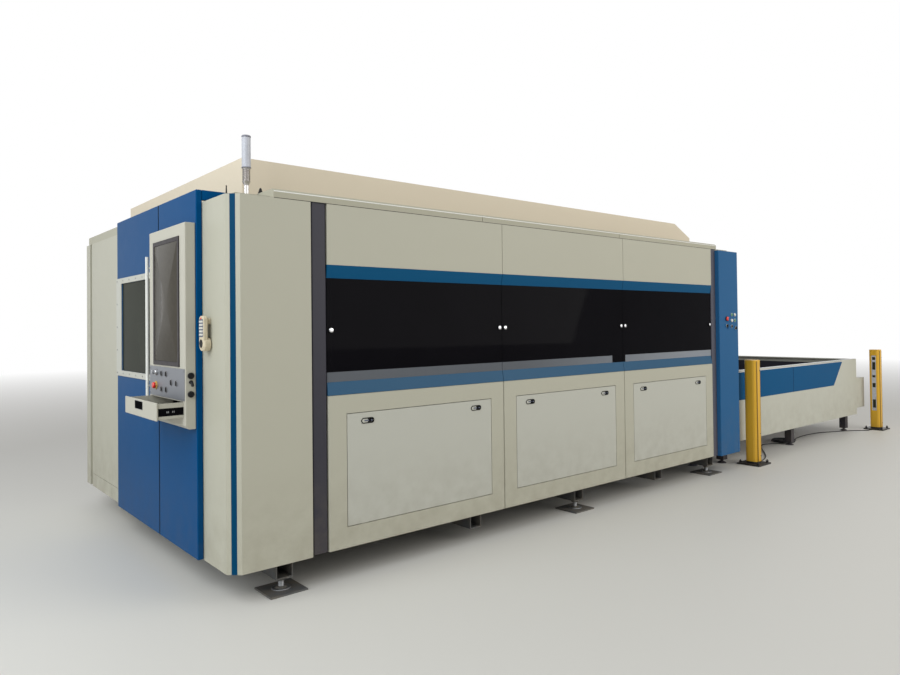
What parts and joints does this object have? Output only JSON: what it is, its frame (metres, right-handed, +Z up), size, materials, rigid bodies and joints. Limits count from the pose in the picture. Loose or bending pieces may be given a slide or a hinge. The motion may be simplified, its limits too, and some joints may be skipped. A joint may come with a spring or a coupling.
{
  "type": "fiber laser cutting machine",
  "caption": "Enclosed fiber laser cutting machine with sliding gantry and head, operator console, lifting exit door and a shuttle table with exchanging slatted pallets",
  "frame": {"origin": "middle of the footprint on the floor, cables left aside", "axes": "+X from the operator's end towards the shuttle table, +Y from the window side to the rear cabinet, +Z up"},
  "size_m": [9.3183, 3.325, 2.5826],
  "materials": {
    "cream": "satin powder coat",
    "grey_white": "satin powder coat",
    "blue": "satin powder coat",
    "band_blue": "satin powder coat",
    "charcoal": "satin powder coat",
    "bed_grey": "matte machine enamel",
    "machined_steel": "ground steel",
    "tinted_glass": "dark laser-safe tint",
    "black_plastic": "fine grain",
    "screen": "switched-off display",
    "brushed_plate": "brushed",
    "red_plastic": "moulded",
    "yellow": "satin powder coat",
    "slat_steel": "mill scale with spatter and light rust",
    "lamp": "frosted lamp tiers",
    "cable_black": "matte cable sheath"
  },
  "bodies": {
    "machine": {"bed_frame": "bed_grey", "house_frame": "bed_grey", "guide_rail_front": "machined_steel", "guide_rail_rear": "machined_steel", "side_bay_1": "cream", "side_bay_2": "cream", "side_bay_3": "cream", "band_lower": "band_blue", "band_upper": "band_blue", "window_1": "tinted_glass", "window_2": "tinted_glass", "window_3": "tinted_glass", "upper_panel": "cream", "pillar": "charcoal", "corner_cover": "cream", "corner_stripe": "blue", "end_panel": "blue", "end_wall": "cream", "rear_cabinet": "cream", "roof_deck": "cream", "roof_hood": "cream", "portal_frame": "charcoal", "portal_column": "blue", "stack_light": "lamp", "console_housing": "cream", "console_screen": "screen", "console_plate": "brushed_plate", "pendant": "cream", "table_frame": "charcoal", "table_skirt": "cream", "table_inlay": "blue", "light_post_near": "yellow", "light_post_far": "yellow", "drag_chain": "black_plastic", "guard_cable_far": "cable_black", "guard_cable_near": "cable_black", "guard_cable_coil": "cable_black"},
    "gantry": {"gantry_beam": "bed_grey"},
    "carriage": {"carriage": "bed_grey"},
    "head": {"z_slide": "machined_steel", "cutting_head": "machined_steel"},
    "upper_pallet": {"upper_pallet": "slat_steel"},
    "lower_pallet": {"lower_pallet": "slat_steel"},
    "exit_door": {"exit_door": "charcoal"},
    "operator_door": {"door_leaf": "blue", "door_window_frame": "grey_white", "door_glass": "tinted_glass", "door_handle": "grey_white"},
    "keyboard_drawer": {"keyboard_drawer": "cream"},
    "service_panel_1": {"service_panel_1": "grey_white"},
    "service_panel_2": {"service_panel_2": "grey_white"},
    "service_panel_3": {"service_panel_3": "grey_white"},
    "console_estop": {"console_estop": "red_plastic"},
    "console_key_switch": {"console_key_switch": "machined_steel"},
    "console_button_1": {"console_button_1": "black_plastic"},
    "console_button_2": {"console_button_2": "black_plastic"},
    "console_button_3": {"console_button_3": "black_plastic"},
    "console_button_4": {"console_button_4": "black_plastic"},
    "console_button_5": {"console_button_5": "black_plastic"},
    "console_button_6": {"console_button_6": "black_plastic"}
  },
  "joints": [
    {"name": "gantry_travel", "type": "slide", "parent": "machine", "child": "gantry", "axis": [1, 0, 0], "range_m": [-2.45, 0.8]},
    {"name": "carriage_travel", "type": "slide", "parent": "gantry", "child": "carriage", "axis": [0, 1, 0], "range_m": [-0.43, 0.87]},
    {"name": "head_lift", "type": "slide", "parent": "carriage", "child": "head", "axis": [0, 0, 1], "range_m": [-0.09, 0.05]},
    {"name": "upper_pallet_travel", "type": "slide", "parent": "machine", "child": "upper_pallet", "axis": [1, 0, 0], "range_m": [0, 4.05]},
    {"name": "lower_pallet_travel", "type": "slide", "parent": "machine", "child": "lower_pallet", "axis": [1, 0, 0], "range_m": [-4.05, 0]},
    {"name": "exit_door_lift", "type": "slide", "parent": "machine", "child": "exit_door", "axis": [0, 0, 1], "range_m": [0, 0.5]},
    {"name": "operator_door_slide", "type": "slide", "parent": "machine", "child": "operator_door", "axis": [0, 1, 0], "range_m": [0, 0.93]},
    {"name": "drawer_slide", "type": "slide", "parent": "machine", "child": "keyboard_drawer", "axis": [1, 0, 0], "range_m": [0, 0.1395]},
    {"name": "service_panel_1_tilt", "type": "hinge", "parent": "machine", "child": "service_panel_1", "pos_m": [-3.14335, -1.5375, 0.308], "axis": [1, 0, 0], "range_deg": [0, 80]},
    {"name": "service_panel_2_tilt", "type": "hinge", "parent": "machine", "child": "service_panel_2", "pos_m": [-1.74835, -1.5375, 0.308], "axis": [1, 0, 0], "range_deg": [0, 80]},
    {"name": "service_panel_3_tilt", "type": "hinge", "parent": "machine", "child": "service_panel_3", "pos_m": [-0.35335, -1.5375, 0.308], "axis": [1, 0, 0], "range_deg": [0, 80]},
    {"name": "estop_press", "type": "slide", "parent": "machine", "child": "console_estop", "axis": [1, 0, 0], "range_m": [0, 0.003], "stiffness_N_per_m": 900},
    {"name": "key_turn", "type": "hinge", "parent": "machine", "child": "console_key_switch", "pos_m": [-4.51315, -0.6305, 1.224], "axis": [1, 0, 0], "range_deg": [0, 90]},
    {"name": "button_1_press", "type": "slide", "parent": "machine", "child": "console_button_1", "axis": [1, 0, 0], "range_m": [0, 0.003], "stiffness_N_per_m": 500},
    {"name": "button_2_press", "type": "slide", "parent": "machine", "child": "console_button_2", "axis": [1, 0, 0], "range_m": [0, 0.003], "stiffness_N_per_m": 500},
    {"name": "button_3_press", "type": "slide", "parent": "machine", "child": "console_button_3", "axis": [1, 0, 0], "range_m": [0, 0.003], "stiffness_N_per_m": 500},
    {"name": "button_4_press", "type": "slide", "parent": "machine", "child": "console_button_4", "axis": [1, 0, 0], "range_m": [0, 0.003], "stiffness_N_per_m": 500},
    {"name": "button_5_press", "type": "slide", "parent": "machine", "child": "console_button_5", "axis": [1, 0, 0], "range_m": [0, 0.003], "stiffness_N_per_m": 500},
    {"name": "button_6_press", "type": "slide", "parent": "machine", "child": "console_button_6", "axis": [1, 0, 0], "range_m": [0, 0.003], "stiffness_N_per_m": 500}
  ],
  "couplings": [
    {"joint": "lower_pallet_travel", "follows": "upper_pallet_travel", "ratio": -1}
  ]
}
